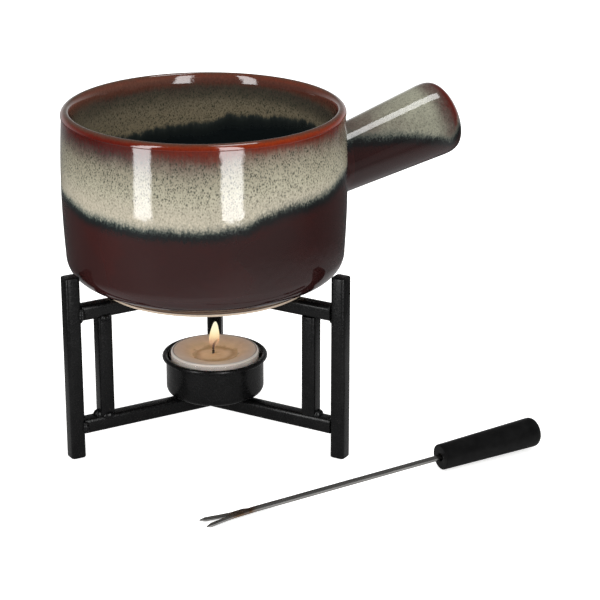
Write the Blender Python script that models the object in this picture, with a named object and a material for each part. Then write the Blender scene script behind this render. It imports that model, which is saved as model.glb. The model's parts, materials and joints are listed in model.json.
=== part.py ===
"""A stoneware fondue pot on a three-armed steel stand, with a tealight burner and a two-tined fork.

Metres, +Z up. The stand, pot, tealight and fork are modelled about the stand's own axis, and the
whole set then hangs from one empty that brings the middle of its base to the world origin.
"""

import math

import bmesh
import bpy
from mathutils import Matrix, Vector

# ---------------------------------------------------------------- driving dimensions
GAP = 0.0003                    # clearance kept between touching pieces

BAR = 0.0064                    # side of the square steel bar
BAR_CORNER = 0.0015             # rounding along the bar
LEG_END_BEVEL = 0.0004          # small bevel round the ends of a leg
ARM_ANGLES = {"left": 210.0, "right": 330.0, "rear": 90.0}
LEG_RADIUS = 0.0626             # stand axis to the middle of a leg
UPRIGHT_RADIUS = 0.0489         # stand axis to the middle of an inner upright
LEG_HEIGHT = 0.0784
LOWER_RAIL_TOP = 0.0164
UPPER_RAIL_TOP = 0.0658
UPPER_RAIL_INNER_END = 0.0300   # stand axis to the free inner end of an upper rail

HOLDER_OFFSET = Vector((0.0020, 0.0, 0.0))      # the tealight holder sits a little off the axis
HOLDER_RADIUS = 0.0205
HOLDER_WALL = 0.0008
HOLDER_HEIGHT = 0.0172
HOLDER_CORNER = 0.0030
HOLDER_BEAD = 0.00095           # radius of the rolled rim
HOLDER_BEAD_REACH = 0.00065     # the middle of the rolled rim stands this far out from the wall

TEALIGHT_RADIUS = 0.0190
TEALIGHT_HEIGHT = 0.0166        # to the rim of the cup
CUP_WALL = 0.0005
CUP_CORNER = 0.0021             # rounding round the bottom of the cup
WAX_HEIGHT = 0.0172             # the wax stands a little proud of the cup
WAX_FLAT_RADIUS = 0.0174        # where its flat top meets its rounded shoulder
POOL_RADIUS = 0.0103            # melted pool round the wick
POOL_FLAT_RADIUS = 0.0080
POOL_DEPTH = 0.0022
WICK_RADIUS = 0.0006
WICK_ABOVE_POOL = 0.0066
WICK_HOOK = 0.0026              # the burnt tip leans over by this much
WICK_LEAN = 70.0                # degrees that its tip bends away from upright
SUSTAINER_RADIUS = 0.0065
SUSTAINER_SHEET = 0.0003
SUSTAINER_NECK = 0.0030

POT_OFFSET = Vector((-0.0011, -0.0008, 0.0))    # the pot's play between the legs
POT_HEIGHT = 0.0745
POT_RIM_RADIUS = 0.0578
POT_BODY_RADIUS = 0.0574
POT_BULGE = 0.0010              # the wall swells this much between shoulder and rim
POT_CORNER_RADIUS = 0.0134      # horizontal reach of the rounded bottom corner
POT_CORNER_HEIGHT = 0.0106
POT_CORNER_POWER = 2.35         # 2 is an ellipse, higher is squarer
POT_LIP = 0.0024                # radius of the rounded lip
POT_FLOOR = 0.0080              # inner floor above the foot
POT_INNER_CORNER = 0.0120
FOOT_OUTER_RADIUS = 0.0440
FOOT_INNER_RADIUS = 0.0396
FOOT_HEIGHT = 0.0040

HANDLE_ANGLE = 27.0             # degrees round the pot from +X
HANDLE_RISE = 15.3              # degrees above level
HANDLE_AXIS_HEIGHT = 0.0264     # where the handle's axis crosses the pot's axis
HANDLE_END = 0.1192             # pot axis to the handle's tip, along the handle
HANDLE_ROOT_RADIUS = 0.0132
HANDLE_END_RADIUS = 0.0159
HANDLE_DOME = 0.0093            # length of the rounded end
HANDLE_DOME_POWER = 3.3
HANDLE_ROOT = 0.040             # the handle is built from here out, then trimmed inside the pot's wall
HANDLE_WALL = 0.0052
HANDLE_VENT_RADIUS = 0.0025     # kiln vent in the tip of the hollow handle

FORK_TIP = Vector((0.0006, -0.0963, 0.0))       # midway between the tine tips
FORK_ANGLE = 28.8               # degrees from +X
FORK_SHAFT_LENGTH = 0.1075      # tine tips to the front of the handle
FORK_SHAFT_RADIUS = 0.0012
TINE_RADIUS = 0.00085
TINE_SPREAD = 0.0032            # sideways reach of each tine tip
TINE_SPLIT = 0.0200             # tine tips to the fork's split
TINE_POINT = 0.0030             # length of each tine's sharpened point
TINE_BLUNTNESS = 0.25           # a tip's radius as a share of its tine's
TINE_CURVE = 1.35               # 1 is a straight tine, higher bends it more near the tip
WELD_LENGTH = 0.0020            # the tines run side by side for this long past the split
FAR_TINE_TAPER = 0.0070         # the far tine thins over this length into the weld
FAR_TINE_WELD_END = 0.35        # its radius at the weld, as a share
FORK_HANDLE_LENGTH = 0.0465
FORK_HANDLE_FRONT_RADIUS = 0.0053
FORK_HANDLE_REAR_RADIUS = 0.00615
FORK_HANDLE_REAR_ROUNDING = 0.0026
FORK_BORE_RADIUS = 0.0016
FORK_BORE_DEPTH = 0.0410
FORK_BORE_CLEARANCE = 0.0010    # the shaft stops this far short of the bottom of its bore
FORK_HANDLE_FRONT_BREAK = 0.0004

# ---------------------------------------------------------------- colours
MATERIALS = {
    "black_coating": {"colour": (0.018, 0.018, 0.019), "roughness": 0.42, "metallic": 0.0},
    "glazed_stoneware": {"colour": (0.120, 0.035, 0.025), "roughness": 0.10, "metallic": 0.0},
    "clear_cup": {"colour": (0.860, 0.820, 0.790), "roughness": 0.20, "metallic": 0.0},
    "candle_wax": {"colour": (0.800, 0.700, 0.610), "roughness": 0.45, "metallic": 0.0},
    "cotton_wick": {"colour": (0.030, 0.024, 0.020), "roughness": 0.95, "metallic": 0.0},
    "tinned_sheet": {"colour": (0.620, 0.620, 0.630), "roughness": 0.35, "metallic": 1.0},
    "stainless_steel": {"colour": (0.560, 0.550, 0.530), "roughness": 0.28, "metallic": 1.0},
    "black_handle_plastic": {"colour": (0.014, 0.014, 0.015), "roughness": 0.38, "metallic": 0.0},
}


# ---------------------------------------------------------------- scene helpers
def clear_scene():
    for obj in list(bpy.data.objects):
        bpy.data.objects.remove(obj, do_unlink=True)


def material(name):
    """The Principled material of this name, made the first time that it is asked for."""
    found = bpy.data.materials.get(name)
    if found:
        return found
    look = MATERIALS[name]
    made = bpy.data.materials.new(name)
    made.use_nodes = True
    shader = made.node_tree.nodes["Principled BSDF"]
    shader.inputs["Base Color"].default_value = (*look["colour"], 1.0)
    shader.inputs["Roughness"].default_value = look["roughness"]
    shader.inputs["Metallic"].default_value = look["metallic"]
    return made


def empty(name, parent=None, location=(0.0, 0.0, 0.0), rotation=(0.0, 0.0, 0.0)):
    """An axis or a group: an empty that pieces hang from."""
    made = bpy.data.objects.new(name, None)
    made.empty_display_size = 0.01
    bpy.context.scene.collection.objects.link(made)
    made.parent = parent
    made.location = location
    made.rotation_euler = rotation
    return made


def piece(name, data, surface, parent, location=(0.0, 0.0, 0.0)):
    """A sub-part from a mesh or a curve."""
    data.name = name
    data.materials.append(material(surface))
    made = bpy.data.objects.new(name, data)
    bpy.context.scene.collection.objects.link(made)
    made.parent = parent
    made.location = location
    return made


def as_cutter(obj):
    obj.hide_render = True
    obj.display_type = "WIRE"
    return obj


def boolean(obj, operation, other):
    cut = obj.modifiers.new(f"{operation.lower()} {other.name}", "BOOLEAN")
    cut.operation = operation
    cut.solver = "EXACT"
    cut.object = other


# ---------------------------------------------------------------- shape helpers
def arc(centre, radii, start, end, steps, power=2.0):
    """Points (r, z) along an arc, from the start angle to the end angle in degrees.

    A power of 2 gives an ellipse, and a higher one fills out its corner.
    """
    points = []
    for i in range(steps + 1):
        angle = math.radians(start + (end - start) * i / steps)
        offset = [
            radius * math.copysign(abs(share) ** (2.0 / power), share)
            for radius, share in zip(radii, (math.cos(angle), math.sin(angle)))
        ]
        points.append((centre[0] + offset[0], centre[1] + offset[1]))
    return points


def turned(outline, segments, smooth_angle=35.0):
    """A closed outline of (r, z) points turned about Z. Its ends may lie on the axis."""
    on_axis = 1e-7
    bm = bmesh.new()
    verts = [bm.verts.new((r, 0.0, z)) for r, z in outline]
    pairs = list(zip(verts, verts[1:]))
    if outline[0][0] > on_axis:
        pairs.append((verts[-1], verts[0]))
    edges = [bm.edges.new(pair) for pair in pairs]
    bmesh.ops.spin(
        bm, geom=verts + edges, cent=(0, 0, 0), axis=(0, 0, 1), angle=math.tau, steps=segments
    )
    bmesh.ops.remove_doubles(bm, verts=bm.verts, dist=1e-6)
    return finished_mesh(bm, smooth_angle)


def finished_mesh(bm, smooth_angle):
    """The bmesh as a mesh with its faces pointing out, smooth but for edges sharper than the angle."""
    bmesh.ops.recalc_face_normals(bm, faces=bm.faces)
    mesh = bpy.data.meshes.new("mesh")
    bm.to_mesh(mesh)
    bm.free()
    mesh.shade_smooth()
    mesh.set_sharp_from_angle(angle=math.radians(smooth_angle))
    return mesh


def bar_bmesh(length):
    """Square bar along +X from the origin, rounded along its four long edges."""
    bm = bmesh.new()
    bmesh.ops.create_cube(bm, size=1.0)
    bmesh.ops.translate(bm, verts=bm.verts, vec=(0.5, 0.0, 0.0))
    bmesh.ops.scale(bm, verts=bm.verts, vec=(length, BAR, BAR))
    long_edges = [e for e in bm.edges if abs(e.verts[0].co.x - e.verts[1].co.x) > length / 2]
    bmesh.ops.bevel(
        bm, geom=long_edges, offset=BAR_CORNER, segments=4, profile=0.5, affect="EDGES"
    )
    return bm


def bevel_bar_ends(bm, width):
    """Bevel the edges round both flat ends of a bar."""
    end_edges = [
        e for e in bm.edges
        if abs(e.verts[0].co.x - e.verts[1].co.x) < 1e-6 and any(len(f.verts) > 4 for f in e.link_faces)
    ]
    bmesh.ops.bevel(bm, geom=end_edges, offset=width, segments=1, affect="EDGES")


def cut_flat(bm, point, normal):
    """Slice off what lies beyond a plane, on the side that its normal points to, and close the cut."""
    everything = list(bm.verts) + list(bm.edges) + list(bm.faces)
    cut = bmesh.ops.bisect_plane(
        bm, geom=everything, plane_co=point, plane_no=normal, clear_outer=True
    )
    rim = [e for e in cut["geom_cut"] if isinstance(e, bmesh.types.BMEdge)]
    bmesh.ops.contextual_create(bm, geom=rim)


def rod(name, points, radii, surface, parent):
    """A round rod through the points, with a radius at each, and closed ends."""
    curve = bpy.data.curves.new(name, "CURVE")
    curve.dimensions = "3D"
    curve.bevel_depth = 1.0
    curve.bevel_resolution = 2
    curve.use_fill_caps = True
    spline = curve.splines.new("POLY")
    spline.points.add(len(points) - 1)
    for target, point, radius in zip(spline.points, points, radii):
        target.co = (*point, 1.0)
        target.radius = radius
    return piece(name, curve, surface, parent)


def mix(a, b, t):
    return a + (b - a) * t


# ---------------------------------------------------------------- stand
def make_arm(side, angle, stand):
    """One arm: outer leg, inner upright, upper rail and lower rail, in an empty turned to its angle."""
    arm = empty(f"{side}_arm", stand, rotation=(0.0, 0.0, math.radians(angle)))
    upright_frame = Matrix.Rotation(math.radians(-90.0), 4, "Y")
    rail_end = LEG_RADIUS - BAR / 2 - GAP

    leg = bar_bmesh(LEG_HEIGHT)
    bevel_bar_ends(leg, LEG_END_BEVEL)
    bmesh.ops.transform(leg, matrix=upright_frame, verts=leg.verts)
    piece(f"{side}_leg", finished_mesh(leg, 50.0), "black_coating", arm, (LEG_RADIUS, 0.0, 0.0))

    foot = LOWER_RAIL_TOP + GAP
    upright = bar_bmesh(UPPER_RAIL_TOP - BAR - GAP - foot)
    bmesh.ops.transform(upright, matrix=upright_frame, verts=upright.verts)
    piece(
        f"{side}_inner_upright", finished_mesh(upright, 50.0), "black_coating", arm,
        (UPRIGHT_RADIUS, 0.0, foot),
    )

    upper = bar_bmesh(rail_end - UPPER_RAIL_INNER_END)
    piece(
        f"{side}_upper_rail", finished_mesh(upper, 50.0), "black_coating", arm,
        (UPPER_RAIL_INNER_END, 0.0, UPPER_RAIL_TOP - BAR / 2),
    )

    # Three lower rails meet on the stand's axis, so each ends in a 120 degree point.
    lower = bar_bmesh(rail_end)
    tip = Vector((GAP / 2 / math.sin(math.radians(60.0)), 0.0, 0.0))
    for sign in (1.0, -1.0):
        beyond = Vector((-math.sin(math.radians(60.0)), sign * math.cos(math.radians(60.0)), 0.0))
        cut_flat(lower, tip, beyond)
    piece(
        f"{side}_lower_rail", finished_mesh(lower, 50.0), "black_coating", arm,
        (0.0, 0.0, LOWER_RAIL_TOP - BAR / 2),
    )


def make_tealight_holder(stand):
    """A pressed cup with a rounded bottom and a rim rolled outwards, its base welded to the lower rails."""
    inner = HOLDER_RADIUS - HOLDER_WALL
    bead_centre = (HOLDER_RADIUS + HOLDER_BEAD_REACH, HOLDER_HEIGHT - HOLDER_BEAD)
    outline = [(0.0, HOLDER_WALL)]
    outline += arc(
        (inner - HOLDER_CORNER + HOLDER_WALL, HOLDER_CORNER),
        (HOLDER_CORNER - HOLDER_WALL, HOLDER_CORNER - HOLDER_WALL), -90.0, 0.0, 4,
    )
    outline += arc(bead_centre, (bead_centre[0] - inner, HOLDER_BEAD), 180.0, 90.0, 4)
    outline += arc(bead_centre, (HOLDER_BEAD, HOLDER_BEAD), 90.0, -130.0, 8)[1:]
    outline += arc(
        (HOLDER_RADIUS - HOLDER_CORNER, HOLDER_CORNER), (HOLDER_CORNER, HOLDER_CORNER), 0.0, -90.0, 5
    )
    outline += [(0.0, 0.0)]
    place = HOLDER_OFFSET + Vector((0.0, 0.0, LOWER_RAIL_TOP + GAP))
    piece("tealight_holder", turned(outline, 48), "black_coating", stand, place)


# ---------------------------------------------------------------- tealight
def make_tealight(base):
    """Cup, wax, wick and the tinned sustainer that holds the wick, about the tealight's own axis."""
    inner = TEALIGHT_RADIUS - CUP_WALL
    corner_centre = (TEALIGHT_RADIUS - CUP_CORNER, CUP_CORNER)
    cup_inside = CUP_CORNER - CUP_WALL
    cup = [(0.0, CUP_WALL)]
    cup += arc(corner_centre, (cup_inside, cup_inside), -90.0, 0.0, 3)
    cup += [(inner, TEALIGHT_HEIGHT), (TEALIGHT_RADIUS, TEALIGHT_HEIGHT)]
    cup += arc(corner_centre, (CUP_CORNER, CUP_CORNER), 0.0, -90.0, 3)
    cup += [(0.0, 0.0)]
    piece("tealight_cup", turned(cup, 40), "clear_cup", base)

    floor = CUP_WALL + GAP
    sheet_top = floor + SUSTAINER_SHEET
    bore = WICK_RADIUS + GAP
    neck = bore + SUSTAINER_SHEET
    sustainer = [
        (bore, floor), (bore, floor + SUSTAINER_NECK), (neck, floor + SUSTAINER_NECK),
        (neck, sheet_top), (SUSTAINER_RADIUS, sheet_top), (SUSTAINER_RADIUS, floor),
    ]
    piece("wick_sustainer", turned(sustainer, 24), "tinned_sheet", base)

    wax_radius = inner - GAP
    pool_top = WAX_HEIGHT - POOL_DEPTH
    shoulder = wax_radius - WAX_FLAT_RADIUS
    wax = [
        (SUSTAINER_RADIUS + GAP, floor), (SUSTAINER_RADIUS + GAP, sheet_top + GAP),
        (neck + GAP, sheet_top + GAP), (neck + GAP, floor + SUSTAINER_NECK + GAP),
        (bore, floor + SUSTAINER_NECK + GAP), (bore, pool_top), (POOL_FLAT_RADIUS, pool_top),
        (POOL_RADIUS, mix(pool_top, WAX_HEIGHT, 0.25)),
    ]
    wax += arc((WAX_FLAT_RADIUS, WAX_HEIGHT - shoulder), (shoulder, shoulder), 90.0, 0.0, 3)
    wax += arc(corner_centre, (cup_inside - GAP, cup_inside - GAP), 0.0, -90.0, 3)
    piece("tealight_wax", turned(wax, 40), "candle_wax", base)

    steps = 6
    straight_top = pool_top + WICK_ABOVE_POOL - WICK_HOOK
    points = [Vector((0.0, 0.0, floor)), Vector((0.0, 0.0, pool_top))]
    for i in range(steps + 1):
        angle = math.radians(WICK_LEAN) * i / steps
        points.append(
            Vector((WICK_HOOK * (1 - math.cos(angle)), 0.0, straight_top + WICK_HOOK * math.sin(angle)))
        )
    rod("wick", points, [WICK_RADIUS] * len(points), "cotton_wick", base)


# ---------------------------------------------------------------- pot
def pot_outline():
    """The wall's section, from the inner floor over the lip and down to the foot ring."""
    corner_centre = (POT_BODY_RADIUS - POT_CORNER_RADIUS, FOOT_HEIGHT + POT_CORNER_HEIGHT)
    lip_centre = (POT_RIM_RADIUS - POT_LIP, POT_HEIGHT - POT_LIP)
    inner = POT_RIM_RADIUS - 2 * POT_LIP
    outline = [(0.0, POT_FLOOR)]
    outline += arc(
        (inner - POT_INNER_CORNER, POT_FLOOR + POT_INNER_CORNER),
        (POT_INNER_CORNER, POT_INNER_CORNER), -90.0, 0.0, 6,
    )
    outline += arc(lip_centre, (POT_LIP, POT_LIP), 180.0, 0.0, 8)
    steps = 6
    for i in range(1, steps):
        t = 2.0 * i / steps - 1.0
        swell = POT_BULGE * (1.0 - t * t)
        outline.append((POT_BODY_RADIUS + swell, mix(lip_centre[1], corner_centre[1], i / steps)))
    outline += arc(
        corner_centre, (POT_CORNER_RADIUS, POT_CORNER_HEIGHT), 0.0, -90.0, 8, POT_CORNER_POWER
    )
    outline += [
        (FOOT_OUTER_RADIUS, 0.0), (FOOT_INNER_RADIUS, 0.0),
        (FOOT_INNER_RADIUS, FOOT_HEIGHT), (0.0, FOOT_HEIGHT),
    ]
    return outline


def handle_outline(shrink, start, end_gap):
    """The handle's section along its own axis: a widening cone with a domed end, shrunk evenly."""
    dome_start = HANDLE_END - HANDLE_DOME
    dome = HANDLE_DOME - end_gap
    radius_at_start = mix(
        HANDLE_ROOT_RADIUS, HANDLE_END_RADIUS, (start - POT_BODY_RADIUS) / (dome_start - POT_BODY_RADIUS)
    )
    outline = [(0.0, start), (radius_at_start - shrink, start)]
    steps = 8
    for i in range(steps + 1):
        t = math.sin(math.radians(90.0) * i / steps)
        r = (HANDLE_END_RADIUS - shrink) * (1.0 - t**HANDLE_DOME_POWER) ** (1.0 / HANDLE_DOME_POWER)
        outline.append((max(r, 0.0), dome_start + dome * t))
    return outline


def make_pot(base):
    """Pot and hollow stick handle, one fired piece of stoneware."""
    pot = piece("fondue_pot", turned(pot_outline(), 72), "glazed_stoneware", base)

    handle_axis = empty("handle_axis", base, (0.0, 0.0, HANDLE_AXIS_HEIGHT))
    handle_axis.rotation_euler = (0.0, math.radians(90.0 - HANDLE_RISE), math.radians(HANDLE_ANGLE))

    # The handle's root is trimmed to a cylinder in the middle of the wall, so the joint is one skin.
    mid_wall = POT_RIM_RADIUS - POT_LIP
    wall_core = [(0.0, 0.0), (0.0, POT_HEIGHT), (mid_wall, POT_HEIGHT), (mid_wall, 0.0)]
    core = as_cutter(piece("wall_core", turned(wall_core, 72), "glazed_stoneware", base))
    grip = turned(handle_outline(0.0, HANDLE_ROOT, 0.0), 40)
    grip = as_cutter(piece("handle_solid", grip, "glazed_stoneware", handle_axis))
    boolean(grip, "DIFFERENCE", core)

    hollow_start = POT_RIM_RADIUS + HANDLE_WALL
    hollow = handle_outline(HANDLE_WALL, hollow_start, HANDLE_WALL)
    tip = hollow.pop()[1]
    hollow += [
        (HANDLE_VENT_RADIUS, tip), (HANDLE_VENT_RADIUS, HANDLE_END + HANDLE_WALL),
        (0.0, HANDLE_END + HANDLE_WALL),
    ]
    hollow = as_cutter(piece("handle_hollow", turned(hollow, 24), "glazed_stoneware", handle_axis))
    boolean(pot, "UNION", grip)
    boolean(pot, "DIFFERENCE", hollow)


# ---------------------------------------------------------------- fork
def make_fork(stand_axis):
    """The fork lies on the floor: its tine tips and the front edge of its handle touch down."""
    slope = math.asin((FORK_HANDLE_FRONT_RADIUS - TINE_RADIUS) / FORK_SHAFT_LENGTH)
    lie = empty("fork_lift_axis", stand_axis, FORK_TIP + Vector((0.0, 0.0, TINE_RADIUS + GAP / 3)))
    axis = empty("fork_axis", lie, rotation=(0.0, -slope, math.radians(FORK_ANGLE)))

    # The shaft runs on into the near tine; s is the distance from the tips, y is sideways.
    bend_start = TINE_SPLIT + WELD_LENGTH
    shaft_end = FORK_SHAFT_LENGTH + FORK_BORE_DEPTH - FORK_BORE_CLEARANCE
    thickening = TINE_SPLIT / 2
    points, radii = [], []
    steps = 10
    for i in range(steps + 1):
        s = bend_start * i / steps
        points.append(Vector((s, -TINE_SPREAD * (1.0 - s / bend_start) ** TINE_CURVE, 0.0)))
        share = max(0.0, (s - thickening) / (bend_start - thickening))
        full = mix(TINE_RADIUS, FORK_SHAFT_RADIUS, share)
        radii.append(full * min(1.0, TINE_BLUNTNESS + s / TINE_POINT))
    points.append(Vector((shaft_end, 0.0, 0.0)))
    radii.append(FORK_SHAFT_RADIUS)
    rod("fork_shaft", points, radii, "stainless_steel", axis)

    # The far tine is a short pointed wire welded to the shaft's side.
    points, radii = [], []
    for i in range(steps + 1):
        s = (TINE_SPLIT - WELD_LENGTH / 2) * i / steps
        spread = TINE_SPREAD * (1.0 - s / bend_start) ** TINE_CURVE
        taper = min(
            1.0, TINE_BLUNTNESS + s / TINE_POINT, FAR_TINE_WELD_END + (TINE_SPLIT - s) / FAR_TINE_TAPER
        )
        radius = TINE_RADIUS * taper
        sideways = max(spread, FORK_SHAFT_RADIUS - spread + GAP + radius)
        points.append(Vector((s, sideways, 0.0)))
        radii.append(radius)
    rod("fork_far_tine", points, radii, "stainless_steel", axis)

    rounding = FORK_HANDLE_REAR_ROUNDING
    front = FORK_HANDLE_FRONT_RADIUS
    grip = [
        (0.0, FORK_BORE_DEPTH), (FORK_BORE_RADIUS, FORK_BORE_DEPTH), (FORK_BORE_RADIUS, 0.0),
        (front - FORK_HANDLE_FRONT_BREAK, 0.0), (front, FORK_HANDLE_FRONT_BREAK),
    ]
    grip += arc(
        (FORK_HANDLE_REAR_RADIUS - rounding, FORK_HANDLE_LENGTH - rounding), (rounding, rounding),
        0.0, 90.0, 5,
    )
    grip += [(0.0, FORK_HANDLE_LENGTH)]
    grip_axis = empty("fork_handle_axis", axis, (FORK_SHAFT_LENGTH, 0.0, 0.0))
    grip_axis.rotation_euler = (0.0, math.radians(90.0), 0.0)
    piece("fork_handle", turned(grip, 32), "black_handle_plastic", grip_axis)


# ---------------------------------------------------------------- whole set
def centre_on_floor(root):
    """Move the root so that the middle of the set's bounding box stands over the world origin."""
    bpy.context.view_layer.update()
    graph = bpy.context.evaluated_depsgraph_get()
    corners = []
    for obj in bpy.context.scene.objects:
        if obj.type in {"MESH", "CURVE"} and not obj.hide_render:
            shape = obj.evaluated_get(graph)
            mesh = shape.to_mesh()
            corners += [shape.matrix_world @ vertex.co for vertex in mesh.vertices]
            shape.to_mesh_clear()
    for axis in (0, 1):
        low = min(corner[axis] for corner in corners)
        high = max(corner[axis] for corner in corners)
        root.location[axis] = -(low + high) / 2


def main():
    clear_scene()
    root = empty("set_root")
    stand = empty("stand", root)
    for side, angle in ARM_ANGLES.items():
        make_arm(side, angle, stand)
    make_tealight_holder(stand)

    tealight_floor = LOWER_RAIL_TOP + GAP + HOLDER_WALL + GAP
    make_tealight(empty("tealight_lift_axis", root, HOLDER_OFFSET + Vector((0.0, 0.0, tealight_floor))))
    make_pot(empty("pot_lift_axis", root, POT_OFFSET + Vector((0.0, 0.0, UPPER_RAIL_TOP + GAP))))
    make_fork(root)
    centre_on_floor(root)


main()
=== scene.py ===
"""The looks of the fondue pot set: fine meshes, glaze, coating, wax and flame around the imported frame."""

import json
import math

import bmesh
import bpy
import numpy as np
from mathutils import Matrix, Vector, noise

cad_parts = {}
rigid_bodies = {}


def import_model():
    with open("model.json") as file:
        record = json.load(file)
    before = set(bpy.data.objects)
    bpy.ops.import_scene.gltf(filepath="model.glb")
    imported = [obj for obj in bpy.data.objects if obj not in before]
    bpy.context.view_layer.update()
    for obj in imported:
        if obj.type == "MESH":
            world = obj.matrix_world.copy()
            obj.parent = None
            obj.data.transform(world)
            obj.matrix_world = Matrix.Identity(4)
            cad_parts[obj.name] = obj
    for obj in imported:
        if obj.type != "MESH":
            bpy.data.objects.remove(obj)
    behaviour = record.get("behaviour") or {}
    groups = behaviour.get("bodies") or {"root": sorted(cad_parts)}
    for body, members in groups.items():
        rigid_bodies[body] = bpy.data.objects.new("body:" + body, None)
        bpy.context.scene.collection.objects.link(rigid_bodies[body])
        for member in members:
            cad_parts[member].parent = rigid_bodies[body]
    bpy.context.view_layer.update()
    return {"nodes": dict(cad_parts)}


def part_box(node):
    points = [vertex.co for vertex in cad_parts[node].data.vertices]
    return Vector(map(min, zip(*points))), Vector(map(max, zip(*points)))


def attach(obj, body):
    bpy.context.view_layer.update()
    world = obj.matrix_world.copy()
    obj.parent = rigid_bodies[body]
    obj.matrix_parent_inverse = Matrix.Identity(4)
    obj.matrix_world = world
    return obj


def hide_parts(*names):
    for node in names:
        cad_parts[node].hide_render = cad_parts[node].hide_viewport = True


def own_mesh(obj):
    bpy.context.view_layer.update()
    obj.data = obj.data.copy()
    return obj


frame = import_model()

# ---------------------------------------------------------------- sizes that the CAD's boxes don't say
ARM_ANGLES = {"left": 210.0, "right": 330.0, "rear": 90.0}
BAR_CORNER = 0.0015
FREE_END_ROUNDING = 0.0005
WELDED_END_ROUNDING = 0.0003
UPRIGHT_END_ROUNDING = 0.0002
RAIL_GAP = 0.0003               # between the upper rail's end and its leg, under the weld
WELD_INSET = 0.0008             # how far a weld stays from a bar's corner

POT_WIDEST = 0.0584             # radius at the middle of the swelling wall
POT_BODY_RADIUS = 0.0574
POT_BULGE = 0.0010
POT_RIM_RADIUS = 0.0578
POT_LIP = 0.0024
INNER_LIP_HEIGHT = 0.0062       # the lip turns into the pot more gently than it turns out
POT_CORNER_RADIUS = 0.0134
POT_CORNER_HEIGHT = 0.0106
POT_CORNER_POWER = 2.35
POT_FLOOR = 0.0080
POT_INNER_CORNER = 0.0120
FOOT_OUTER_RADIUS = 0.0440
FOOT_INNER_RADIUS = 0.0396
FOOT_HEIGHT = 0.0040
FOOT_ROUNDING = 0.0005

HANDLE_ANGLE = 27.0
HANDLE_RISE = 15.3
HANDLE_AXIS_HEIGHT = 0.0264
HANDLE_END = 0.1192
HANDLE_ROOT_RADIUS = 0.0132
HANDLE_END_RADIUS = 0.0159
HANDLE_DOME = 0.0093
HANDLE_DOME_POWER = 3.3
HANDLE_FILLET = 0.0045          # how far the glaze-softened joint spreads over wall and handle
HANDLE_SHOULDER = 0.1155        # along the handle's axis, where its end turns over
HANDLE_GLAZE_LINE = 0.0534      # height of the glaze line on the handle, above the foot
HANDLE_VENT_RADIUS = 0.0025
HANDLE_VENT_ROUNDING = 0.0008
HANDLE_WALL = 0.0052

HOLDER_WALL = 0.0008
HOLDER_CORNER = 0.0030
HOLDER_BEAD = 0.00095
HOLDER_BEAD_PROUD = 0.00065     # how far the bead's middle stands out from the wall
HOLDER_SET_DOWN = 0.0004        # the rim is this much lower than the CAD's, to show a dark line at the wax

CUP_WALL = 0.0005
CUP_CORNER = 0.0021
WAX_HEIGHT = 0.0172
WAX_FLAT_RADIUS = 0.0174
POOL_RADIUS = 0.0103
POOL_DEPTH = 0.0022
WICK_RADIUS = 0.0006
WICK_THINNING = 0.35            # the share of its radius that it loses towards its tip
WICK_HOOK = 1.12                # how far its tip bends over, against the CAD's
WICK_FOOT_OFFSET = 0.0006
WICK_SHORTFALL = 0.0005         # its tip stays this far under the CAD's
WICK_SUNK = 0.004               # how far it starts below the pool
FLAME_TIP = 0.0296              # above the bottom of the tealight
FLAME_ABOVE_POOL = 0.0022
FLAME_RADIUS = 0.0022
FLAME_THINNEST = 0.00004
FLAME_OFFSET = 0.0004
FLAME_SWAY = 0.0009

FORK_TIP = Vector((0.0006, -0.0963))    # from the stand's axis
FORK_TIP_HEIGHT = 0.00095
FORK_ANGLE = 28.8
FORK_SHAFT_LENGTH = 0.1075
FORK_SHAFT_RADIUS = 0.0012
TINE_RADIUS = 0.00085
TINE_SPREAD = 0.0032
TINE_SPLIT = 0.0200
TINE_POINT = 0.0030
TINE_BLUNTNESS = 0.25
TINE_CURVE = 1.35
WELD_LENGTH = 0.0020
WELD_BLOB_LENGTH = 0.0075
WELD_BLOB_RADIUS = 0.00095
FORK_HANDLE_LENGTH = 0.0465
FORK_HANDLE_FRONT_RADIUS = 0.0053
FORK_HANDLE_REAR_RADIUS = 0.00615
FORK_HANDLE_REAR_ROUNDING = 0.0026
FORK_BORE_RADIUS = 0.0016
FORK_BORE_SHOWN = 0.012         # how deep the bore is made here

MM = 1000.0                     # the glaze's attributes are in millimetres


# ---------------------------------------------------------------- small helpers
def mix(a, b, t):
    return a + (b - a) * t


def smooth_step(low, high, x):
    t = min(1.0, max(0.0, (x - low) / (high - low)))
    return t * t * (3.0 - 2.0 * t)


def middle(node):
    """The middle of a CAD node's box."""
    low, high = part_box(node)
    return (low + high) / 2


def arc(centre, radii, start, end, steps, power=2.0):
    """Points (r, z) along an arc in degrees. A power of 2 gives an ellipse, a higher one is squarer."""
    points = []
    for i in range(steps + 1):
        angle = math.radians(mix(start, end, i / steps))
        offset = [
            radius * math.copysign(abs(share) ** (2.0 / power), share)
            for radius, share in zip(radii, (math.cos(angle), math.sin(angle)))
        ]
        points.append((centre[0] + offset[0], centre[1] + offset[1]))
    return points


def circle(radius, z, count):
    """Points of a level ring about Z."""
    turns = [math.tau * i / count for i in range(count)]
    return [Vector((radius * math.cos(turn), radius * math.sin(turn), z)) for turn in turns]


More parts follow.
